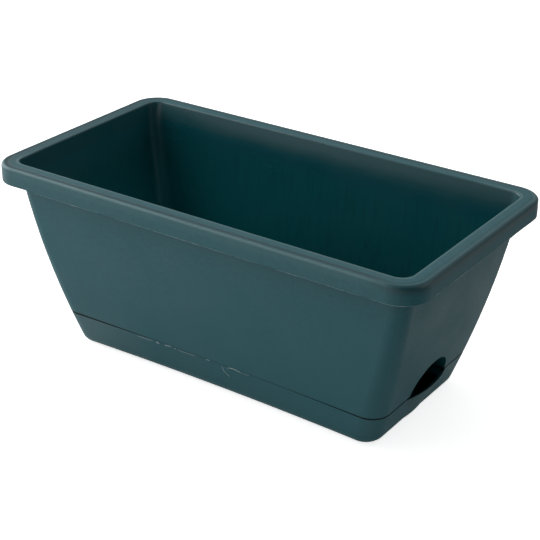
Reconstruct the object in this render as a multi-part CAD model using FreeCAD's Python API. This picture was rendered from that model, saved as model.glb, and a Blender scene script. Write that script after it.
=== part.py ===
import FreeCAD, Part
import math
import os

# Rectangular planter: a tapered tub with a turned-down rim, standing in a flush water tray.
# Millimetres. Origin at the middle of the tray's underside, +Z up, +X towards the fill opening.

# Rim
rim_length = 430.0
rim_width = 227.0
overall_height = 179.0
rim_corner_radius = 25.0
rim_band_height = 16.0
rim_top_width = 15.2
rim_opening_radius = 11.8
rim_outer_edge_radius = 3.0
rim_inner_edge_radius = 1.2
rim_skirt_wall = 2.0
rim_top_wall = 2.2
rim_sink_offset = 5.2
rim_sink_depth = 0.25
rim_sink_radius = 8.0

# Outer wall that the tub and the tray share: its size at the base and just under the rim
base_length = 320.4
base_width = 144.0
base_corner_radius = 18.0
base_side_bow = 3.0
neck_length = 401.0
neck_width = 192.5
neck_corner_radius = 13.0
neck_side_bow = 0.8
wall_belly = 3.6

# Water tray
tray_height = 31.7
tray_wall = 2.0
tray_floor = 2.2
tray_base_radius = 11.5
tray_edge_wall = 0.7
tray_edge_height = 2.4
lip_width = 66.0
lip_depth = 5.3
lip_root_height = 8.0

# Tub, and the gap between it and the tray, which narrows towards the middle of the long sides
seam_gap = 1.3
seam_gap_middle = 0.3
tub_wall = 2.0
tub_floor = 2.2
tub_ledge = 2.2
plug_depth = 8.0
plug_clearance = 0.6
mouth_bend_height = 14.0

# Fill opening in the tub's end wall and the hood behind it
port_width = 58.6
port_top_height = 56.2
port_depth = 30.0
port_back_radius = 12.0

# Soil wells that stand in the water
well_length = 58.0
well_width = 46.0
well_taper = 4.0
well_corner_radius = 10.0
well_offset = 82.0
well_slot_width = 3.0
well_slot_height = 13.0
well_slot_pitch = 12.0
well_slots_long_side = 3
well_slots_short_side = 2

# Drain slots in the tub's floor
drain_length = 24.0
drain_width = 5.0
drain_pitch = 60.0
drain_row_offset = 42.0
drains_in_row = 4

# Soil grate
grate_thickness = 2.4
grate_clearance = 0.6
grate_border = 9.0
grate_slot_length = 24.0
grate_slot_width = 3.5
grate_slot_pitch_x = 32.0
grate_slot_pitch_y = 11.0
grate_foot_radius = 4.5
grate_foot_pitch_x = 120.0
grate_foot_offset_y = 56.0

# How far a cut runs past the face that it opens
overrun = 1.0

# Heights of the lofted sections, from the bottom of a piece to its top
section_shares = (0.0, 0.2, 0.4, 0.6, 0.8, 1.0)

# Heights worked out from the sizes above
band_bottom = overall_height - rim_band_height
step_height = tray_height + seam_gap
tray_peak = step_height - seam_gap_middle
ledge_height = step_height + tub_ledge
plug_bottom = step_height - plug_depth - seam_gap
floor_top = plug_bottom + tub_floor


def vec(x, y, z):
    return FreeCAD.Vector(x, y, z)


def between(low, high, share):
    return low + (high - low) * share


def wall_half_size(base, neck, height):
    """Half of the wall's outer length or width at a height, with the belly added."""
    share = height / band_bottom
    return between(base, neck, share) / 2 + 4 * wall_belly * share * (1 - share)


def outline(half_length, half_width, radius, bow, height):
    """A level rounded rectangle whose two long sides bow inwards."""
    turn = 0.0
    for _ in range(4):
        reach = half_length - radius - radius * math.sin(turn)
        turn = 2 * math.atan((bow - radius * (1 - math.cos(turn))) / reach)
    centre_x = half_length - radius
    centre_y = half_width - radius
    join_x = centre_x - radius * math.sin(turn)
    join_y = centre_y + radius * math.cos(turn)
    mid_angle = (math.pi / 2 + turn) / 2
    mid_x = centre_x + radius * math.cos(mid_angle)
    mid_y = centre_y + radius * math.sin(mid_angle)
    side_y = half_width - bow

    def at(x, y):
        return vec(x, y, height)

    def long_side(start, middle, end):
        if abs(bow) < Part.Precision.confusion():
            return Part.LineSegment(start, end)
        return Part.Arc(start, middle, end)

    edges = [
        Part.LineSegment(at(half_length, -centre_y), at(half_length, centre_y)),
        Part.Arc(at(half_length, centre_y), at(mid_x, mid_y), at(join_x, join_y)),
        long_side(at(join_x, join_y), at(0, side_y), at(-join_x, join_y)),
        Part.Arc(at(-join_x, join_y), at(-mid_x, mid_y), at(-half_length, centre_y)),
        Part.LineSegment(at(-half_length, centre_y), at(-half_length, -centre_y)),
        Part.Arc(at(-half_length, -centre_y), at(-mid_x, -mid_y), at(-join_x, -join_y)),
        long_side(at(-join_x, -join_y), at(0, -side_y), at(join_x, -join_y)),
        Part.Arc(at(join_x, -join_y), at(mid_x, -mid_y), at(half_length, -centre_y)),
    ]
    return Part.Wire([edge.toShape() for edge in edges])


def wall_outline(inset, height):
    """The outline of the shared outer wall at a height, moved inwards by an inset."""
    share = height / band_bottom
    half_length = wall_half_size(base_length, neck_length, height) - inset
    half_width = wall_half_size(base_width, neck_width, height) - inset
    radius = between(base_corner_radius, neck_corner_radius, share) - inset
    bow = between(base_side_bow, neck_side_bow, share)
    return outline(half_length, half_width, radius, bow, height)


def wall_solid(inset, bottom, top):
    """A solid bounded by the shared wall, moved inwards, between two heights."""
    heights = [between(bottom, top, share) for share in section_shares]
    return Part.makeLoft([wall_outline(inset, height) for height in heights], True)


def rim_outline(inset, height):
    """The rim's outline at a height, moved inwards by an inset."""
    radius = rim_corner_radius - inset
    return outline(rim_length / 2 - inset, rim_width / 2 - inset, radius, 0, height)


def opening_outline(growth, height):
    """The outline of the rim's opening at a height, grown outwards."""
    inset = rim_top_width - growth
    return outline(rim_length / 2 - inset, rim_width / 2 - inset, rim_opening_radius + growth, 0, height)


def mouth_outline(height):
    """The tub's inside at a height beside the rim, between the neck and the rim's opening."""
    share = (height - band_bottom) / rim_band_height
    half_length = between(neck_length / 2 - tub_wall, rim_length / 2 - rim_top_width, share)
    half_width = between(neck_width / 2 - tub_wall, rim_width / 2 - rim_top_width, share)
    radius = between(neck_corner_radius - tub_wall, rim_opening_radius, share)
    bow = between(neck_side_bow, 0, share)
    return outline(half_length, half_width, radius, bow, height)


def prism(wire, height):
    return Part.Face(wire).extrude(vec(0, 0, height))


def level_edges(shape, height):
    """The edges of a shape that lie at one height."""
    found = []
    for edge in shape.Edges:
        box = edge.BoundBox
        if abs(box.ZMin - height) < Part.Precision.approximation() \
                and abs(box.ZMax - height) < Part.Precision.approximation():
            found.append(edge)
    return found


def block(length, width, height, centre):
    """A box of a given size about a centre."""
    corner = centre - vec(length / 2, width / 2, height / 2)
    return Part.makeBox(length, width, height, corner)


def upright_slot(length, width, height, foot):
    """A round-ended slot along X that stands on a foot point."""
    reach = (length - width) / 2
    ends = [foot + vec(side * reach, 0, 0) for side in (-1, 1)]
    middle = block(2 * reach, width, height, foot + vec(0, 0, height / 2))
    return middle.multiFuse([Part.makeCylinder(width / 2, height, end) for end in ends])


# Water tray


def lip_solid(inset):
    """A leaning cylinder whose front stands out of the tray's end wall as the pouring lip."""
    wall_at_root = wall_half_size(base_length, neck_length, lip_root_height)
    wall_at_top = wall_half_size(base_length, neck_length, tray_height)
    run = wall_at_top + lip_depth - wall_at_root
    rise = tray_height - lip_root_height
    lean = math.atan(run / rise)
    depth = lip_depth * math.cos(lean)
    radius = ((lip_width / 2) ** 2 + depth ** 2) / (2 * depth)
    along = vec(math.sin(lean), 0, math.cos(lean))
    across = vec(math.cos(lean), 0, -math.sin(lean))
    root = vec(wall_at_root, 0, lip_root_height)
    length = 2 * base_width
    start = root - across * radius - along * base_width
    cylinder = Part.makeCylinder(radius - inset, length, start, along)
    keep = block(base_width, lip_width, tray_peak, vec(wall_at_root, 0, tray_peak / 2))
    return cylinder.common(keep)


def lip_space(inset, bottom):
    """The lip moved inwards, as a space above a height."""
    above = block(2 * base_length, base_width, tray_peak, vec(0, 0, bottom + tray_peak / 2))
    return lip_solid(inset).common(above)


def space_above_tray():
    """All that lies above the tray's edge, which rises in an arc to the middle of the long sides."""
    end = wall_half_size(base_length, neck_length, tray_height)
    reach = end + lip_depth + overrun
    low = tray_peak - (tray_peak - tray_height) * (reach / end) ** 2
    high = tray_peak + tray_height

    def at(x, z):
        return vec(x, -base_width, z)

    edges = [
        Part.Arc(at(-reach, low), at(0, tray_peak), at(reach, low)),
        Part.LineSegment(at(reach, low), at(reach, high)),
        Part.LineSegment(at(reach, high), at(-reach, high)),
        Part.LineSegment(at(-reach, high), at(-reach, low)),
    ]
    face = Part.Face(Part.Wire([edge.toShape() for edge in edges]))
    return face.extrude(vec(0, 2 * base_width, 0))


def make_water_tray():
    outside = wall_solid(0, 0, tray_peak)
    outside = outside.makeFillet(tray_base_radius, level_edges(outside, 0))
    inside = wall_solid(tray_wall, tray_floor, tray_peak + overrun)
    inside = inside.makeFillet(tray_base_radius - tray_wall, level_edges(inside, tray_floor))
    rebate_bottom = tray_height - tray_edge_height
    rebate = wall_solid(tray_edge_wall, rebate_bottom, tray_peak + overrun)
    tray = outside.fuse(lip_solid(0))
    for space in (inside, lip_space(tray_wall, tray_floor), rebate, lip_space(tray_edge_wall, rebate_bottom)):
        tray = tray.cut(space)
    return tray.cut(space_above_tray())


# Tub


def port_solid(growth, bottom):
    """The arched space of the fill opening, grown on all sides, with a rounded back."""
    half = port_width / 2 + growth
    rise = port_top_height - step_height + growth
    back_x = wall_half_size(base_length, neck_length, step_height) - port_depth - growth

    def at(y, z):
        return vec(back_x, y, z)

    def arch():
        crown = at(0, step_height + rise)
        spring = at(half, step_height)
        if half > rise:
            ellipse = Part.Ellipse(spring, crown, at(0, step_height))
            return Part.Arc(ellipse, 0, math.pi)
        ellipse = Part.Ellipse(crown, at(-half, step_height), at(0, step_height))
        return Part.Arc(ellipse, -math.pi / 2, math.pi / 2)

    edges = [
        Part.LineSegment(at(-half, bottom), at(half, bottom)),
        Part.LineSegment(at(half, bottom), at(half, step_height)),
        arch(),
        Part.LineSegment(at(-half, step_height), at(-half, bottom)),
    ]
    face = Part.Face(Part.Wire([edge.toShape() for edge in edges]))
    solid = face.extrude(vec(2 * port_depth, 0, 0))
    back_edges = []
    for edge in solid.Edges:
        box = edge.BoundBox
        at_back = abs(box.XMax - back_x) < Part.Precision.approximation()
        if at_back and box.ZMax > bottom + overrun / 2:
            back_edges.append(edge)
    return solid.makeFillet(port_back_radius + growth, back_edges)


def well_loft(inset, bottom, top):
    """One soil well, narrower at the bottom, moved inwards by an inset."""
    wires = []
    for height, taper in ((bottom, well_taper), (top, 0)):
        half_length = well_length / 2 - taper - inset
        half_width = well_width / 2 - taper - inset
        wires.append(outline(half_length, half_width, well_corner_radius - inset, 0, height))
    return Part.makeLoft(wires, True, True)


def well_slots():
    """The upright slots that let water into a well."""
    low = tray_floor + tub_floor
    middle = low + well_slot_height / 2
    cuts = []
    for index in range(well_slots_long_side):
        x = (index - (well_slots_long_side - 1) / 2) * well_slot_pitch
        cuts.append(block(well_slot_width, 2 * well_width, well_slot_height, vec(x, 0, middle)))
    for index in range(well_slots_short_side):
        y = (index - (well_slots_short_side - 1) / 2) * well_slot_pitch
        cuts.append(block(2 * well_length, well_slot_width, well_slot_height, vec(0, y, middle)))
    return cuts


def make_well():
    outside = well_loft(0, tray_floor, floor_top)
    inside = well_loft(tub_wall, tray_floor + tub_floor, floor_top)
    return outside.cut(inside).cut(Part.makeCompound(well_slots()))


def well_mouth(bottom, height):
    """The opening of a well through the floor or the grate."""
    inset = tub_wall
    wire = outline(well_length / 2 - inset, well_width / 2 - inset, well_corner_radius - inset, 0, bottom)
    return prism(wire, height)


def drain_slots():
    cuts = []
    for index in range(drains_in_row):
        x = (index - (drains_in_row - 1) / 2) * drain_pitch
        for side in (-1, 1):
            foot = vec(x, side * drain_row_offset, plug_bottom - overrun)
            cuts.append(upright_slot(drain_length, drain_width, tub_floor + 2 * overrun, foot))
    return cuts


def make_rim():
    """The turned-down rim: a flat top with a skirt round it, open below."""
    rim = prism(rim_outline(0, band_bottom), rim_band_height)
    rim = rim.makeFillet(rim_outer_edge_radius, level_edges(rim, overall_height))
    channel_height = rim_band_height - rim_top_wall
    return rim.cut(prism(rim_outline(rim_skirt_wall, band_bottom), channel_height))


def rim_sink_ring():
    """A ring that leaves a shallow sink line round the rim's top, inside its outer edge."""
    height = overall_height + rim_sink_radius - rim_sink_depth
    path = rim_outline(rim_sink_offset, height)
    start = vec(rim_length / 2 - rim_sink_offset, rim_corner_radius - rim_width / 2, height)
    section = Part.Circle(start, vec(0, 1, 0), rim_sink_radius)
    return path.makePipeShell([Part.Wire(section.toShape())], True, False)


def bed_space():
    """The tub's inside above the ledge: one smooth loft that bends outwards to the rim's opening."""
    bend_bottom = band_bottom - mouth_bend_height / 2
    bend_top = band_bottom + mouth_bend_height / 2
    wires = [wall_outline(tub_wall, between(ledge_height, bend_bottom, share)) for share in section_shares]
    wires += [mouth_outline(height) for height in (bend_top, overall_height, overall_height + overrun)]
    return Part.makeLoft(wires, True)


def edge_is_inner(edge):
    """Whether a top edge borders the opening rather than the outside of the rim."""
    point = edge.valueAt((edge.FirstParameter + edge.LastParameter) / 2)
    margin = rim_top_width - overrun
    return abs(point.x) < rim_length / 2 - margin and abs(point.y) < rim_width / 2 - margin


def make_planter_body():
    wall_top = wall_outline(0, band_bottom)
    leg = Part.makeLoft([wall_top, opening_outline(tub_wall, overall_height)], True, True)
    plug_inset = tray_wall + plug_clearance
    plug = wall_solid(plug_inset, plug_bottom, ledge_height)
    envelope = wall_solid(0, step_height, band_bottom).fuse(plug)
    tub = envelope.multiFuse([leg, make_rim()])

    cavity = bed_space().fuse(wall_solid(plug_inset + tub_wall, floor_top, ledge_height + overrun))
    hood = port_solid(tub_wall, plug_bottom).common(envelope)
    tub = tub.cut(cavity).fuse(hood).cut(port_solid(0, plug_bottom - overrun))

    places = [vec(side * well_offset, 0, 0) for side in (-1, 1)]
    mouths = [well_mouth(plug_bottom - overrun, tub_floor + 2 * overrun).translated(place) for place in places]
    tub = tub.cut(Part.makeCompound(mouths + drain_slots()))
    tub = tub.multiFuse([make_well().translated(place) for place in places])
    tub = tub.cut(rim_sink_ring()).removeSplitter()
    opening_edges = [edge for edge in level_edges(tub, overall_height) if edge_is_inner(edge)]
    return tub.makeFillet(rim_inner_edge_radius, opening_edges)


# Soil grate


def grate_slots(plate, keep_clear):
    """Round-ended slots all over the plate, left out where they would meet an opening or a foot."""
    box = plate.BoundBox
    columns = int((box.XLength - 2 * grate_border - grate_slot_length) / grate_slot_pitch_x) + 1
    rows = int((box.YLength - 2 * grate_border - grate_slot_width) / grate_slot_pitch_y) + 1
    cuts = []
    for column in range(columns):
        x = (column - (columns - 1) / 2) * grate_slot_pitch_x
        for row in range(rows):
            y = (row - (rows - 1) / 2) * grate_slot_pitch_y
            foot = vec(x, y, box.ZMin - overrun)
            slot = upright_slot(grate_slot_length, grate_slot_width, box.ZLength + 2 * overrun, foot)
            if slot.distToShape(keep_clear)[0] > grate_slot_width:
                cuts.append(slot)
    return cuts


def make_soil_grate():
    plate = prism(wall_outline(tub_wall + grate_clearance, ledge_height), grate_thickness)
    low = ledge_height - overrun
    height = grate_thickness + 2 * overrun
    mouths = [well_mouth(low, height).translated(vec(side * well_offset, 0, 0)) for side in (-1, 1)]
    notch = port_solid(tub_wall + grate_clearance, plug_bottom)
    feet = []
    for side_x in (-1, 0, 1):
        for side_y in (-1, 1):
            foot = vec(side_x * grate_foot_pitch_x, side_y * grate_foot_offset_y, floor_top)
            feet.append(Part.makeCylinder(grate_foot_radius, ledge_height - floor_top, foot))
    openings = mouths + [notch]
    slots = grate_slots(plate, Part.makeCompound(openings + feet))
    return plate.cut(Part.makeCompound(openings + slots)).multiFuse(feet)


def main():
    os.makedirs("parts", exist_ok=True)
    pieces = {
        "water_tray": make_water_tray(),
        "planter_body": make_planter_body(),
        "soil_grate": make_soil_grate(),
    }
    for name, shape in pieces.items():
        print(name, shape.isValid(), len(shape.Solids), round(shape.Volume))
        shape.exportStep(os.path.join("parts", name + ".step"))


main()
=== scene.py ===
import math

import bpy
from mathutils import Matrix, Vector, noise
from mathutils.bvhtree import BVHTree


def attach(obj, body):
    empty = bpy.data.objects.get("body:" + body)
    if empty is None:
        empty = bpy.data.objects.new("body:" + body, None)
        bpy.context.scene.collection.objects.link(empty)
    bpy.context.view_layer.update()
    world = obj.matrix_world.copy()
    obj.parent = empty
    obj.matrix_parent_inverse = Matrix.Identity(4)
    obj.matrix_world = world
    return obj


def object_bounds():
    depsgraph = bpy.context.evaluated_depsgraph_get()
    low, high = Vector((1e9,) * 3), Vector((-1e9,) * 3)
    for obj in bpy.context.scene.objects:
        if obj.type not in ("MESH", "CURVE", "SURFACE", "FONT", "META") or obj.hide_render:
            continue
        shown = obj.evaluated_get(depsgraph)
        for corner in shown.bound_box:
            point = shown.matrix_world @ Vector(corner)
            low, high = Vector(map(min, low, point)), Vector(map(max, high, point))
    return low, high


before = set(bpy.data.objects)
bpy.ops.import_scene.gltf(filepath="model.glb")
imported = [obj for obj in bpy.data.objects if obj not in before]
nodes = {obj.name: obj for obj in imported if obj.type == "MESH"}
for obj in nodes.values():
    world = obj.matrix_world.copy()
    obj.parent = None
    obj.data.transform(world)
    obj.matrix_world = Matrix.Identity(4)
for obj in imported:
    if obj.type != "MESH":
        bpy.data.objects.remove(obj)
cad_low, cad_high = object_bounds()

# Camera: the photograph's view, in degrees, metres and pixels of its square frame
IMAGE_PIXELS = 540
FOCAL_PIXELS = 1413.5
CAMERA_AZIMUTH = 34.88
CAMERA_ELEVATION = 26.425
CAMERA_ROLL = 0.32
CAMERA_PLACE = Vector((0.6495, -0.9201, 0.6495))

# Linear white of the floor and the room
WHITE = (1.0, 1.0, 1.0)

# Light: soft square lamps round the planter, each with its azimuth from the front and elevation in
# degrees and its power in watts
LIGHT_TARGET = Vector((0.0, 0.0, 0.08))
LAMP_DISTANCE = 2.2
LAMP_SIZE = 1.8
LAMPS = {
    "left_low": (270, 12, 22.5),
    "left_high": (270, 38, 24.5),
    "front_left": (315, 38, 11.0),
    "front": (0, 12, 8.5),
    "back": (180, 38, 6.0),
    "back_left": (225, 38, 5.5),
    "right_top": (120, 62, 5.0),
    "right_back": (115, 10, 12.0),
}
AMBIENT = 0.07
# White wall low down on one side of the room, which only gloss picks up: its azimuth, its level, and, from
# none to full, the sines of the elevations and the cosines of the angles to its sides
WALL_AZIMUTH = 295
WALL_LEVEL = 1.0
WALL_FADE_UP = (0.45, 0.20)
WALL_FADE_ASIDE = (0.70, 0.94)

# Floor: a wide white sheet. The camera sees it near full white, and gloss picks up part of that
FLOOR_SIZE = 24.0
FLOOR_WHITE = 0.86
FLOOR_ROUGHNESS = 0.9
FLOOR_TO_CAMERA = 0.75
FLOOR_TO_GLOSS = 0.16
# Further out, where the lamps' light thins, the floor is made up to full white between these distances
FLOOR_FAR = (0.5, 1.6)
# The room is dark on the camera's right: what the floor throws back fades out towards this azimuth,
# between these two distances
DARK_AZIMUTH = 98
DARK_FADE = (0.14, 0.60)
DARK_SHARE = 0.1
# Gloss also finds the floor dark in a strip beside the right-hand end: the strip's middle and half width
# along the length, and what is left of the floor's light there
END_SHADOW = (0.19, 0.06)
END_SHADOW_SHARE = 0.25

# Plastic: linear colours of the walls, of their worn edges and painted highlights, and of torn plastic
TEAL = (0.0020, 0.0840, 0.1040)
TRAY_TEAL = (0.0020, 0.0820, 0.1010)
GRATE_TEAL = (0.0020, 0.0700, 0.0850)
PALE_WEAR_AND_HIGHLIGHT = (0.062, 0.138, 0.148)
BURR_PALE = (0.22, 0.31, 0.32)
FLASH_PALE = (0.36, 0.44, 0.45)

# Grey-green painted sheen on the inner band, and how much greener the inside is painted, for light through
# its walls
GREY_SHEEN = (0.014, 0.075, 0.088)
INSIDE_GREEN_LIGHT = 1.08

# Tub, in metres: the round of the rim's corners, its band's lower edge, and the round at which edges count
# as worn and get a painted highlight
RIM_RADIUS = 0.025
BAND_BOTTOM = 0.163
EDGE_RADIUS = 0.0012

# Marks in metres, each as a line's middle and half width, measured in from the rim's outer edge or, for the
# painted dark line at the end, up from the floor
SINK = (0.0052, 0.0024)
OUTER_EDGE = (0.0011, 0.0014)
FAR_EDGE = (0.0020, 0.0035)
INNER_EDGE = (0.0142, 0.0018)
END_SHADE_LINE = (0.1758, 0.0060)

# Marks in metres, each from where it is absent to where it is full: depths inside the rim's outer edge,
OUTER_FACE = (0.005, 0.003)
BAND_FACE = (0.004, 0.003)
# heights,
TOP_FADE = (0.170, 0.174)
INNER_EDGE_FADE = (0.1768, 0.1782)
BAND_FADE = (0.163, 0.165)
INNER_BAND_FADE = (0.162, 0.164)
UNDER_BAND_FADE = (0.145, 0.155)
UNDER_BAND_TOP = 0.1629
STREAK_FADE = (0.166, 0.158)
SPECK_FADE = (0.06, 0.13)
DEEP_FADE = (0.14, 0.07)
SEAM_SHADE_TOP = (0.0332, 0.0329)
SEAM_SHADE_FOOT = (0.0290, 0.0315)
TRAY_EDGE_FADE = (0.0290, 0.0305)
# places along the length,
END_FADE = (0.170, 0.205)
END_WALL_FADE = (0.165, 0.185)
NEAR_END_FADE = (0.15, 0.19)
LEFT_FADE = (-0.185, -0.20)
GREY_SHEEN_FADE = (0.10, -0.12)
DEEP_LEFT_FADE = (0.02, -0.12)
TRAY_LEFT_FADE = (-0.06, -0.15)
SEAM_SHADE_LEFT_FADE = (-0.05, -0.15)
SEAM_SHADE_RIGHT_FADE = (0.12, 0.16)
# and places across the width
BACK_FADE = (0.08, 0.10)
NEAR_FRONT_FADE = (-0.06, -0.09)
# How much higher the painted shade of the seam reaches at its left and right ends
SEAM_SHADE_LEFT_RISE = 0.0011
SEAM_SHADE_RIGHT_RISE = 0.0005

# How strongly each mark covers the plastic, and the level of its colour
LEFT_SHADE_MARK = (0.7, 0.7)
SINK_SHADE_MARK = (1.0, 0.35)
EDGE_HIGHLIGHT_MARK = (1.0, 1.25)
BAND_SHEEN_MARK = (0.12, 1.0)
END_SHADE_MARK = (0.65, 0.3)
UNDER_BAND_SHADE_MARK = (1.0, 0.85)
SPECK_MARK = (1.0, 1.18)
FLOW_MARK = (0.35, 1.10)
INSIDE_GREEN_LIGHT_MARK = (0.8, 0.92)
STREAK_MARK = (0.45, 0.55)
INNER_BAND_SHADE_MARK = (0.6, 0.6)
GREY_SHEEN_MARK = (0.8, 1.0)
DEEP_FILL_LIGHT_MARK = (1.0, 1.6)
WORN_AND_HIGHLIGHT_MARK = (0.4, 1.0)
TRAY_LEFT_LIGHT_MARK = (0.5, 0.9)
SEAM_SHADE_MARK = (0.95, 0.06)
SCUFF_MARK = (0.25, 1.5)
# The darkest and lightest levels of clouds and of torn plastic
CLOUD_LEVELS = (0.94, 1.06)
TORN_LEVELS = (0.7, 1.2)
# What is left of the sink's painted shade at the right-hand end, of the painted highlight along the back
# and of scuffs inside, and the share of specks low down and high up
SINK_END_SHARE = 0.2
FAR_EDGE_SHARE = 0.6
SCUFF_INSIDE_SHARE = 0.2
SPECK_SHARES = (0.4, 0.85)

# Noise in the plastic: its scale, detail and stretch along the axes, and the values at which it is absent
# and full
EVEN = (1.0, 1.0, 1.0)
CLOUDS = (7.0, 3.0, EVEN, 0.3, 0.7)
FLOW = (1.0, 3.0, (55.0, 55.0, 2.5), 0.45, 0.75)
SPECKS = (330.0, 2.0, EVEN, 0.35, 0.65)
STREAKS = (1.0, 4.0, (260.0, 260.0, 8.0), 0.50, 0.72)
WEAR = (60.0, 2.0, EVEN, 0.35, 0.65)
SCUFFS = (1.0, 4.0, (30.0, 30.0, 190.0), 0.70, 0.80)
ROUGH_PATCHES = (24.0, 4.0, EVEN, 0.3, 0.7)
TORN_PATCHES = (420.0, 2.0, EVEN, 0.35, 0.65)

# Relief of the plastic: the noise's scale and detail, and its depth in metres at full strength
WAVES = (14.0, 1.0, 0.0012)
GRAIN = (1500.0, 2.0, 0.00025)
TEARS = (900.0, 2.0, 0.0002)
# The strengths, for grain the usual one and the right-hand end's
WAVE_STRENGTH = 0.25
GRAIN_STRENGTHS = (0.20, 0.40)
TEAR_STRENGTH = 0.3

# Gloss: the least and most roughness of walls and of torn plastic, and what scuffs, the inside, the painted
# dark line at the end and the painted shade of the seam add to it
PLASTIC_IOR = 1.49
ROUGHNESS = (0.45, 0.54)
TORN_ROUGHNESS = (0.45, 0.6)
SCUFF_ROUGH = 0.12
INSIDE_ROUGH = -0.18
END_SHADE_ROUGH = -0.12
SEAM_SHADE_ROUGH = 0.3

# Faces: weights that make a place into a direction away from the middle, and, from none to full, how far a
# face turns to the middle, departs from its rounded normal at an edge, and turns up
OUTWARD = (5.0, 10.0, 0.0)
INSIDE_FADE = (-0.15, -0.5)
EDGE_FADE = (0.98, 0.80)
UPWARD_FADE = (0.5, 0.9)

# Scraps of moulding flash on the tray's edge at the front: each one's width in millimetres, and its
# line in pixels of the photograph
SEAM_FLASH = {
    "flash_line_left": (0.4, [(136.8, 336.4), (145.2, 339.2), (153.6, 341.8)]),
    "flash_speck_a": (1.9, [(155.9, 342.7), (159.5, 344.5)]),
    "flash_speck_b": (0.9, [(164.5, 345.9), (171.4, 347.5)]),
    "flash_speck_c": (1.0, [(174.2, 349.2), (175.8, 349.8)]),
    "flash_line_middle": (0.35, [(176.8, 350.5), (186.2, 353.8), (195.5, 356.8)]),
    "flash_speck_d": (0.9, [(205.9, 360.0), (209.5, 361.5)]),
    "flash_curl": (0.6, [(221.8, 366.4), (223.6, 371.4), (226.4, 374.5), (230.0, 377.3)]),
    "flash_branch": (0.95, [(227.3, 370.0), (228.6, 368.5), (233.6, 370.0), (242.3, 374.1)]),
    "flash_line_right": (0.3, [(242.3, 374.1), (249.0, 376.4)]),
}
# In pixels: how far above a spot the wall is read, how far the scraps are raised onto the seam, and the
# spacing of their points
SEAM_REACH = 4.0
SEAM_LIFT = 0.8
FLASH_STEP = 0.5
# Thickness in metres, how blunt and how quick the tips are, how ragged the width is and how finely, and
# the upper side's share of the width
MILLIMETRE = 0.001
FLASH_THICKNESS = 0.00018
FLASH_TIP_SHARE = 0.15
FLASH_TIP_RATE = 4
FLASH_RAG_SHARE = 0.5
FLASH_RAG_SCALE = 900
FLASH_TOP_SHARE = 0.6

# Burr along the band's lower edge, in metres: how far it hangs, how much more at the right-hand end,
# the least that is kept, its thickness, and the spacing of its points
BURR_HANG = 0.00035
BURR_END_SHARE = 1.9
BURR_LEAST = 0.00006
BURR_THICKNESS = 0.0004
BURR_STEP = 0.0012
BURR_CORNER_STEPS = 24
# How coarse and how fine its tears are, the fine ones' share, its mean hang as a share, how far it lies
# inside the band's face, how far it reaches up into the band, and how far a face turns to count as an end
BURR_COARSE = 38
BURR_FINE = 190
BURR_FINE_SHARE = 0.6
BURR_MEAN_SHARE = 0.35
BURR_INSET = 0.00002
BURR_ROOT = 0.00005
BURR_END_TURN = 0.5


class Graph:
    """Short calls for building the nodes of a material or of the world."""

    def __init__(self, owner):
        owner.use_nodes = True
        self.owner = owner
        self.nodes = owner.node_tree.nodes
        self.links = owner.node_tree.links

    def feed(self, socket, value):
        if isinstance(value, bpy.types.NodeSocket):
            self.links.new(value, socket)
        else:
            socket.default_value = value

    def node(self, kind, inputs=None, **settings):
        made = self.nodes.new(kind)
        for key, value in settings.items():
            setattr(made, key, value)
        for key, value in (inputs or {}).items():
            self.feed(made.inputs[key], value)
        return made

    def math(self, operation, first, second=0.0):
        return self.node("ShaderNodeMath", {0: first, 1: second}, operation=operation).outputs[0]

    def product(self, first, *factors):
        for factor in factors:
            first = self.math("MULTIPLY", first, factor)
        return first

    def vector(self, operation, first, second):
        return self.node("ShaderNodeVectorMath", {0: first, 1: second}, operation=operation)

    def remap(self, value, low, high, to_low=0.0, to_high=1.0):
        inputs = {"Value": value, "From Min": low, "From Max": high, "To Min": to_low, "To Max": to_high}
        return self.node("ShaderNodeMapRange", inputs).outputs["Result"]

    def noise(self, place, scale, detail, stretch=EVEN):
        spread = self.node("ShaderNodeMapping", {"Vector": place, "Scale": stretch})
        inputs = {"Vector": spread.outputs["Vector"], "Scale": scale, "Detail": detail}
        return self.node("ShaderNodeTexNoise", inputs).outputs["Fac"]

    def field(self, place, scale, detail, stretch, low, high):
        """Noise as a mask from nothing at one value to full at another."""
        return self.remap(self.noise(place, scale, detail, stretch), low, high)

    def relief(self, place, scale, detail, depth, strength, normal=None):
        """A normal roughened by noise, on top of another normal if there is one."""
        inputs = {"Height": self.noise(place, scale, detail), "Strength": strength, "Distance": depth}
        if normal is not None:
            inputs["Normal"] = normal
        return self.node("ShaderNodeBump", inputs).outputs["Normal"]

    def blend(self, share, low, high):
        made = self.node("ShaderNodeMix", {"Factor": share}, data_type="RGBA")
        self.feed(made.inputs[6], low)
        self.feed(made.inputs[7], high)
        return made.outputs[2]

    def mark(self, mask, tone, colour, share, level):
        """A tone with a shade of a colour laid over it where the mask is."""
        return self.blend(self.product(mask, share), tone, shade(colour, level))


def shade(colour, factor):
    """A linear colour made lighter or darker, with full alpha."""
    return tuple(channel * factor for channel in colour) + (1.0,)


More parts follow.
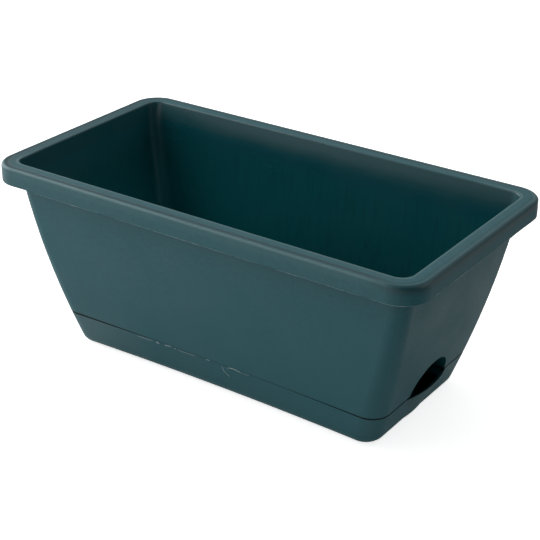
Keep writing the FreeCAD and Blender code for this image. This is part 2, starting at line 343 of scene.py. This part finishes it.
def rim_depth(graph, place):
    """How far a point lies inside the rim's outer edge, seen from above."""
    half = [size / 2 for size in cad_high - cad_low]
    flat = graph.vector("MULTIPLY", place, (1.0, 1.0, 0.0)).outputs["Vector"]
    folded = graph.vector("ABSOLUTE", flat, (0.0, 0.0, 0.0)).outputs["Vector"]
    middle = (half[0] - RIM_RADIUS, half[1] - RIM_RADIUS, 0.0)
    beyond = graph.vector("SUBTRACT", folded, middle).outputs["Vector"]
    rounded = graph.vector("MAXIMUM", beyond, (0.0, 0.0, 0.0)).outputs["Vector"]
    reach = graph.vector("LENGTH", rounded, (0.0, 0.0, 0.0)).outputs["Value"]
    axes = graph.node("ShaderNodeSeparateXYZ", {0: beyond})
    inner = graph.math("MAXIMUM", axes.outputs["X"], axes.outputs["Y"])
    inner = graph.math("MINIMUM", inner, 0.0)
    return graph.math("SUBTRACT", RIM_RADIUS, graph.math("ADD", reach, inner))


def ridge(graph, value, middle, half_width):
    """One at a middle value, falling to nothing at half a width to each side."""
    offset = graph.math("ABSOLUTE", graph.math("SUBTRACT", value, middle))
    return graph.remap(offset, half_width, 0.0)


def rim_tone(graph, axes, depth, tone, colour):
    """The tub's rim: painted shade in the sink and at the left end, painted highlights on the edges, a
    painted sheen on the band, painted shade under it and a painted dark line at the end.

    The dark line at the end comes back as well, since the plastic is also made smoother there."""
    along, across, height = axes
    top = graph.remap(height, *TOP_FADE)
    end = graph.remap(along, *END_FADE)
    back = graph.remap(across, *BACK_FADE)
    near_end = graph.remap(along, *NEAR_END_FADE)
    near = graph.math("MAXIMUM", graph.remap(across, *NEAR_FRONT_FADE), near_end)

    # Painted shade: the rim's left end made darker
    tone = graph.mark(graph.remap(along, *LEFT_FADE), tone, colour, *LEFT_SHADE_MARK)
    # Painted shade along the sink near the rim's outer edge
    sink_share = graph.remap(end, 0.0, 1.0, 1.0, SINK_END_SHARE)
    sink_shade = graph.product(ridge(graph, depth, *SINK), top, sink_share)
    tone = graph.mark(sink_shade, tone, colour, *SINK_SHADE_MARK)
    # Painted highlights along the rim's outer edge, its back edge and its inner edge
    outer = graph.product(ridge(graph, depth, *OUTER_EDGE), graph.remap(end, 0.0, 1.0, 1.0, 0.0))
    far = graph.product(ridge(graph, depth, *FAR_EDGE), back, FAR_EDGE_SHARE)
    inner = graph.product(ridge(graph, depth, *INNER_EDGE), graph.remap(height, *INNER_EDGE_FADE), near)
    edge_highlights = graph.math("MAXIMUM", graph.math("MAXIMUM", outer, far), inner)
    tone = graph.mark(graph.product(edge_highlights, top), tone, PALE_WEAR_AND_HIGHLIGHT, *EDGE_HIGHLIGHT_MARK)
    # A faint painted sheen: the band's outer face made a little paler
    band = graph.product(graph.remap(depth, *BAND_FACE), graph.remap(height, *BAND_FADE))
    tone = graph.mark(band, tone, PALE_WEAR_AND_HIGHLIGHT, *BAND_SHEEN_MARK)
    # A painted dark line along the outer edge of the right-hand end
    end_shade_line = graph.product(ridge(graph, height, *END_SHADE_LINE), graph.remap(depth, *OUTER_FACE), end)
    tone = graph.mark(end_shade_line, tone, colour, *END_SHADE_MARK)
    # Painted shade on the wall just under the band
    below = graph.math("LESS_THAN", height, UNDER_BAND_TOP)
    under = graph.product(graph.remap(height, *UNDER_BAND_FADE), below)
    return graph.mark(under, tone, colour, *UNDER_BAND_SHADE_MARK), end_shade_line


def wall_tone(graph, place, axes, colour):
    """Cloudy colour with flow lines, and specks that are strongest high up and on the right-hand end."""
    along, _, height = axes
    dark, light = CLOUD_LEVELS
    tone = graph.blend(graph.field(place, *CLOUDS), shade(colour, dark), shade(colour, light))
    speckled = graph.remap(height, *SPECK_FADE, *SPECK_SHARES)
    speckled = graph.math("MAXIMUM", speckled, graph.remap(along, *END_WALL_FADE))
    specks = graph.product(graph.field(place, *SPECKS), speckled)
    tone = graph.mark(specks, tone, colour, *SPECK_MARK)
    return graph.mark(graph.field(place, *FLOW), tone, colour, *FLOW_MARK)


def inside_tone(graph, place, axes, inside, tone, colour):
    """Faces that turn to the middle: painted greener, streaked below the rim, painted shade and sheen on
    the inner band, painted fill light low down.
    """
    along, _, height = axes
    green = (colour[0], colour[1] * INSIDE_GREEN_LIGHT, colour[2])
    # A painted greener tint inside, standing in for light through the thin walls
    tone = graph.mark(inside, tone, green, *INSIDE_GREEN_LIGHT_MARK)
    streaks = graph.product(graph.field(place, *STREAKS), graph.remap(height, *STREAK_FADE), inside)
    tone = graph.mark(streaks, tone, colour, *STREAK_MARK)
    # Painted shade on the inner band
    band = graph.product(inside, graph.remap(height, *INNER_BAND_FADE))
    tone = graph.mark(band, tone, colour, *INNER_BAND_SHADE_MARK)
    # A painted grey sheen on the inner band, strongest towards the left
    sheen_mask = graph.product(band, graph.remap(along, *GREY_SHEEN_FADE))
    tone = graph.mark(sheen_mask, tone, GREY_SHEEN, *GREY_SHEEN_MARK)
    # Painted fill light, deep inside towards the left
    deep = graph.product(graph.remap(height, *DEEP_FADE), graph.remap(along, *DEEP_LEFT_FADE), inside)
    return graph.mark(deep, tone, green, *DEEP_FILL_LIGHT_MARK)


def worn_and_highlit_edges(graph, place, surface, tone):
    """Paler plastic, in patches, where faces meet at an edge: wear, and partly a painted highlight."""
    rounded = graph.node("ShaderNodeBevel", {"Radius": EDGE_RADIUS}, samples=4)
    turn = graph.vector("DOT_PRODUCT", rounded.outputs["Normal"], surface.outputs["Normal"])
    edge = graph.remap(turn.outputs["Value"], *EDGE_FADE)
    # Pale wear at edges, partly a painted highlight
    pale_edge = graph.product(edge, graph.field(place, *WEAR))
    return graph.mark(pale_edge, tone, PALE_WEAR_AND_HIGHLIGHT, *WORN_AND_HIGHLIGHT_MARK)


def seam_shade(graph, axes):
    """Painted shade in the seam round the tub's lower edge, which reaches higher towards the ends of the
    seam.
    """
    along, _, height = axes
    left = graph.remap(along, *SEAM_SHADE_LEFT_FADE, 0.0, SEAM_SHADE_LEFT_RISE)
    right = graph.remap(along, *SEAM_SHADE_RIGHT_FADE, 0.0, SEAM_SHADE_RIGHT_RISE)
    level = graph.math("SUBTRACT", height, graph.math("ADD", left, right))
    return graph.product(graph.remap(level, *SEAM_SHADE_TOP), graph.remap(level, *SEAM_SHADE_FOOT))


def tray_edge_shade(graph, axes, surface):
    """Painted shade in the seam on the tray's upper edge."""
    normal = graph.node("ShaderNodeSeparateXYZ", {0: surface.outputs["Normal"]})
    upward = graph.remap(normal.outputs["Z"], *UPWARD_FADE)
    return graph.product(upward, graph.remap(axes[2], *TRAY_EDGE_FADE))


def moulded_plastic(name, colour, node):
    """Matte moulded plastic: cloudy, streaked inside, worn and scuffed, with painted light, highlights,
    sheen and shade, darkest in the seam.
    """
    graph = Graph(bpy.data.materials.new(name))
    shader = graph.nodes["Principled BSDF"]
    place = graph.node("ShaderNodeTexCoord").outputs["Object"]
    surface = graph.node("ShaderNodeNewGeometry")
    split = graph.node("ShaderNodeSeparateXYZ", {0: place})
    axes = [split.outputs[axis] for axis in "XYZ"]
    outward = graph.vector("MULTIPLY", place, OUTWARD).outputs["Vector"]
    facing = graph.vector("DOT_PRODUCT", outward, surface.outputs["Normal"]).outputs["Value"]
    inside = graph.remap(facing, *INSIDE_FADE)

    tone = wall_tone(graph, place, axes, colour)
    tone = inside_tone(graph, place, axes, inside, tone, colour)
    tone = worn_and_highlit_edges(graph, place, surface, tone)
    seam_shade_mask = 0.0
    end_shade_line = 0.0
    if name == "tub_plastic":
        tone, end_shade_line = rim_tone(graph, axes, rim_depth(graph, place), tone, colour)
        seam_shade_mask = seam_shade(graph, axes)
    elif name == "tray_plastic":
        # Painted light on the tray's left end
        tone = graph.mark(graph.remap(axes[0], *TRAY_LEFT_FADE), tone, PALE_WEAR_AND_HIGHLIGHT, *TRAY_LEFT_LIGHT_MARK)
        seam_shade_mask = tray_edge_shade(graph, axes, surface)
    # Painted shade in the seam, on the tub's lower edge and the tray's upper edge
    tone = graph.mark(seam_shade_mask, tone, colour, *SEAM_SHADE_MARK)
    scuff_share = graph.remap(inside, 0.0, 1.0, 1.0, SCUFF_INSIDE_SHARE)
    scuffs = graph.product(graph.field(place, *SCUFFS), scuff_share)
    tone = graph.mark(scuffs, tone, colour, *SCUFF_MARK)
    graph.feed(shader.inputs["Base Color"], tone)

    rough = graph.remap(graph.field(place, *ROUGH_PATCHES), 0.0, 1.0, *ROUGHNESS)
    for mask, change in (
        (scuffs, SCUFF_ROUGH),
        (inside, INSIDE_ROUGH),
        (end_shade_line, END_SHADE_ROUGH),
        (seam_shade_mask, SEAM_SHADE_ROUGH),
    ):
        rough = graph.math("ADD", rough, graph.product(mask, change))
    graph.feed(shader.inputs["Roughness"], rough)
    shader.inputs["IOR"].default_value = PLASTIC_IOR

    waves = graph.relief(place, *WAVES, WAVE_STRENGTH)
    rugged = graph.remap(axes[0], *END_WALL_FADE, *GRAIN_STRENGTHS)
    graph.feed(shader.inputs["Normal"], graph.relief(place, *GRAIN, rugged, waves))

    node.data.materials.clear()
    node.data.materials.append(graph.owner)


def torn_plastic(name, colour):
    """Thin torn plastic, whitened by stress, patchy in tone and roughness."""
    graph = Graph(bpy.data.materials.new(name))
    shader = graph.nodes["Principled BSDF"]
    place = graph.node("ShaderNodeTexCoord").outputs["Object"]
    patch = graph.field(place, *TORN_PATCHES)
    dark, light = TORN_LEVELS
    graph.feed(shader.inputs["Base Color"], graph.blend(patch, shade(colour, dark), shade(colour, light)))
    graph.feed(shader.inputs["Roughness"], graph.remap(patch, 0.0, 1.0, *TORN_ROUGHNESS))
    graph.feed(shader.inputs["Normal"], graph.relief(place, *TEARS, TEAR_STRENGTH))
    return graph.owner


def direction(azimuth, elevation=0.0):
    """The direction towards an azimuth from the front and an elevation, both in degrees."""
    turn = math.radians(azimuth)
    lift = math.radians(elevation)
    return Vector((math.sin(turn) * math.cos(lift), -math.cos(turn) * math.cos(lift), math.sin(lift)))


def camera_axes():
    """The directions to the photograph's right, to its top, and back to the camera."""
    azimuth = math.radians(CAMERA_AZIMUTH)
    roll = math.radians(CAMERA_ROLL)
    back = direction(CAMERA_AZIMUTH, CAMERA_ELEVATION)
    level_right = Vector((math.cos(azimuth), math.sin(azimuth), 0.0))
    level_up = back.cross(level_right)
    right = level_right * math.cos(roll) + level_up * math.sin(roll)
    up = back.cross(right)
    return right, up, back


def pixel_ray(x, y):
    """The direction from the camera through a pixel of the photograph."""
    right, up, back = camera_axes()
    middle = IMAGE_PIXELS / 2
    return (right * (x - middle) + up * (middle - y) - back * FOCAL_PIXELS).normalized()


def face_tree(*names):
    """A search tree of the faces of some CAD nodes."""
    points = []
    faces = []
    for name in names:
        mesh = nodes[name].data
        first = len(points)
        points += [vertex.co.copy() for vertex in mesh.vertices]
        faces += [[first + index for index in polygon.vertices] for polygon in mesh.polygons]
    return BVHTree.FromPolygons(points, faces)


def seam_spot(tree, x, y):
    """The place and normal on the outer wall behind a pixel, carried across the seam's gap."""
    reaches = []
    for rise in (SEAM_REACH, 2 * SEAM_REACH):
        _, normal, _, reach = tree.ray_cast(CAMERA_PLACE, pixel_ray(x, y - rise))
        reaches.append(reach)
    carried = 2 * reaches[0] - reaches[1]
    return CAMERA_PLACE + pixel_ray(x, y) * carried, normal


def strip_mesh(name, strips):
    """Closed strips along a surface. Each strip is a list of rings of four corners."""
    points = []
    faces = []
    for rings in strips:
        first = len(points)
        for index, ring in enumerate(rings):
            points += [tuple(corner) for corner in ring]
            start = first + 4 * index
            if index:
                for side in range(4):
                    following = (side + 1) % 4
                    faces.append((start + side - 4, start + following - 4, start + following, start + side))
        faces.append((first + 3, first + 2, first + 1, first))
        faces.append(tuple(start + side for side in range(4)))
    mesh = bpy.data.meshes.new(name)
    mesh.from_pydata(points, [], faces)
    mesh.update()
    return mesh


def surface_rings(spots, widths, thickness):
    """The rings of a strip that lies along spots on a surface, sunk a little into it."""
    rings = []
    last = len(spots) - 1
    for index, (place, normal) in enumerate(spots):
        ahead = spots[min(index + 1, last)][0] - spots[max(index - 1, 0)][0]
        across = normal.cross(ahead).normalized() * widths[index] / 2
        lift = normal * thickness
        top = across * FLASH_TOP_SHARE
        rings.append((place - across - lift, place + across - lift, place + top + lift, place - top + lift))
    return rings


def add_piece(name, mesh, material, body):
    mesh.materials.append(material)
    piece = bpy.data.objects.new(name, mesh)
    bpy.context.scene.collection.objects.link(piece)
    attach(piece, body)


def make_seam_flash(material):
    """The scraps of flash on the tray's edge, laid along their lines in the photograph."""
    walls = face_tree("planter_body", "water_tray")
    tray = face_tree("water_tray")
    for name, (width, line) in SEAM_FLASH.items():
        spots = []
        for start, end in zip(line, line[1:]):
            count = max(2, round(math.dist(start, end) / FLASH_STEP))
            for index in range(count):
                share = index / count
                x = start[0] + (end[0] - start[0]) * share
                y = start[1] + (end[1] - start[1]) * share
                spots.append(seam_spot(walls, x, y - SEAM_LIFT))
        spots.append(seam_spot(walls, line[-1][0], line[-1][1] - SEAM_LIFT))
        spots = [(tray.find_nearest(place)[0], normal) for place, normal in spots]
        widths = []
        for index, (place, _) in enumerate(spots):
            share = index / (len(spots) - 1)
            taper = min(1.0, FLASH_TIP_SHARE + FLASH_TIP_RATE * min(share, 1 - share))
            rag = 1 + FLASH_RAG_SHARE * noise.noise(place * FLASH_RAG_SCALE)
            widths.append(width * MILLIMETRE * taper * rag)
        mesh = strip_mesh(name, [surface_rings(spots, widths, FLASH_THICKNESS)])
        add_piece(name, mesh, material, "tray")


def rim_outline(step):
    """Points and outward normals once round the rim's outer edge, about a step apart."""
    half_length, half_width, _ = (cad_high - cad_low) / 2
    spots = []
    for turn in range(4):
        start = math.pi / 2 * turn
        side_x = 1 if turn in (0, 3) else -1
        side_y = 1 if turn in (0, 1) else -1
        centre = Vector((side_x * (half_length - RIM_RADIUS), side_y * (half_width - RIM_RADIUS), 0.0))
        for index in range(BURR_CORNER_STEPS + 1):
            angle = start + math.pi / 2 * index / BURR_CORNER_STEPS
            normal = Vector((math.cos(angle), math.sin(angle), 0.0))
            spots.append((centre + normal * RIM_RADIUS, normal))
    filled = []
    for (place, normal), (next_place, _) in zip(spots, spots[1:] + spots[:1]):
        count = max(1, round((next_place - place).length / step))
        for index in range(count):
            filled.append((place.lerp(next_place, index / count), normal))
    return filled


def make_band_burr(material):
    """The thin torn burr that hangs from the lower edge of the rim's band."""
    strips = []
    rings = []
    for place, normal in rim_outline(BURR_STEP):
        ragged = noise.noise(place * BURR_COARSE) + BURR_FINE_SHARE * noise.noise(place * BURR_FINE)
        end_share = BURR_END_SHARE if normal.x > BURR_END_TURN else 1.0
        hang = BURR_HANG * end_share * (BURR_MEAN_SHARE + ragged)
        if hang < BURR_LEAST:
            if len(rings) > 2:
                strips.append(rings)
            rings = []
            continue
        outer = place - normal * BURR_INSET
        inner = place - normal * BURR_THICKNESS
        top = Vector((0.0, 0.0, BAND_BOTTOM + BURR_ROOT))
        foot = Vector((0.0, 0.0, BAND_BOTTOM - hang))
        rings.append((inner + top, outer + top, outer + foot, inner + foot))
    if len(rings) > 2:
        strips.append(rings)
    add_piece("band_burr", strip_mesh("band_burr", strips), material, "tub")


def make_floor():
    """A plain white floor that keeps the planter's shadow."""
    half = FLOOR_SIZE / 2
    mesh = bpy.data.meshes.new("floor")
    corners = [(-half, -half, 0), (half, -half, 0), (half, half, 0), (-half, half, 0)]
    mesh.from_pydata(corners, [], [(0, 1, 2, 3)])
    floor = bpy.data.objects.new("floor", mesh)
    bpy.context.scene.collection.objects.link(floor)
    graph = Graph(bpy.data.materials.new("floor_white"))
    shader = graph.nodes["Principled BSDF"]
    shader.inputs["Roughness"].default_value = FLOOR_ROUGHNESS
    shader.inputs["Specular IOR Level"].default_value = 0.0
    shader.inputs["Emission Color"].default_value = shade(WHITE, 1.0)
    place = graph.node("ShaderNodeTexCoord").outputs["Object"]
    ray = graph.node("ShaderNodeLightPath")
    to_dark = graph.vector("DOT_PRODUCT", place, direction(DARK_AZIMUTH)).outputs["Value"]
    lit = graph.remap(to_dark, *DARK_FADE, 1.0, DARK_SHARE)
    seen = graph.math("MAXIMUM", lit, ray.outputs["Is Camera Ray"])
    tone = graph.blend(seen, shade(WHITE, 0.0), shade(WHITE, FLOOR_WHITE))
    graph.feed(shader.inputs["Base Color"], tone)
    distance = graph.vector("LENGTH", place, (0.0, 0.0, 0.0)).outputs["Value"]
    made_up = graph.remap(distance, *FLOOR_FAR, FLOOR_TO_CAMERA, 1.0)
    to_camera = graph.product(ray.outputs["Is Camera Ray"], made_up)
    along = graph.node("ShaderNodeSeparateXYZ", {0: place}).outputs["X"]
    shadow = graph.remap(ridge(graph, along, *END_SHADOW), 0.0, 1.0, 1.0, END_SHADOW_SHARE)
    to_gloss = graph.product(ray.outputs["Is Glossy Ray"], FLOOR_TO_GLOSS, lit, shadow)
    graph.feed(shader.inputs["Emission Strength"], graph.math("ADD", to_camera, to_gloss))
    mesh.materials.append(graph.owner)


def make_world():
    """A dim even room that the camera sees as white, with the wall that only gloss picks up."""
    world = bpy.data.worlds.new("studio")
    bpy.context.scene.world = world
    graph = Graph(world)
    background = graph.nodes["Background"]
    background.inputs["Color"].default_value = shade(WHITE, 1.0)
    ray = graph.node("ShaderNodeLightPath")
    towards = graph.node("ShaderNodeTexCoord").outputs["Generated"]
    height = graph.node("ShaderNodeSeparateXYZ", {0: towards}).outputs["Z"]
    aside = graph.vector("DOT_PRODUCT", towards, direction(WALL_AZIMUTH)).outputs["Value"]
    fade = graph.product(graph.remap(height, *WALL_FADE_UP), graph.remap(aside, *WALL_FADE_ASIDE))
    wall = graph.product(ray.outputs["Is Glossy Ray"], fade, WALL_LEVEL)
    level = graph.math("ADD", wall, AMBIENT)
    seen = graph.math("MAXIMUM", level, ray.outputs["Is Camera Ray"])
    graph.feed(background.inputs["Strength"], seen)


def make_lamps():
    for name, (azimuth, elevation, power) in LAMPS.items():
        data = bpy.data.lights.new(name, "AREA")
        data.shape = "SQUARE"
        data.size = LAMP_SIZE
        data.energy = power
        light = bpy.data.objects.new(name, data)
        towards = direction(azimuth, elevation)
        light.location = LIGHT_TARGET + towards * LAMP_DISTANCE
        light.rotation_mode = "QUATERNION"
        light.rotation_quaternion = (-towards).to_track_quat("-Z", "Y")
        bpy.context.scene.collection.objects.link(light)


def make_camera():
    data = bpy.data.cameras.new("camera")
    data.lens = FOCAL_PIXELS / IMAGE_PIXELS * data.sensor_width
    camera = bpy.data.objects.new("camera", data)
    turn = Matrix(camera_axes()).transposed().to_4x4()
    camera.matrix_world = Matrix.Translation(CAMERA_PLACE) @ turn
    bpy.context.scene.collection.objects.link(camera)
    bpy.context.scene.camera = camera


make_camera()
moulded_plastic("tub_plastic", TEAL, nodes["planter_body"])
moulded_plastic("tray_plastic", TRAY_TEAL, nodes["water_tray"])
moulded_plastic("grate_plastic", GRATE_TEAL, nodes["soil_grate"])
make_seam_flash(torn_plastic("seam_flash_plastic", FLASH_PALE))
make_band_burr(torn_plastic("band_burr_plastic", BURR_PALE))
make_floor()
make_world()
make_lamps()
bpy.context.scene.view_settings.view_transform = "Standard"
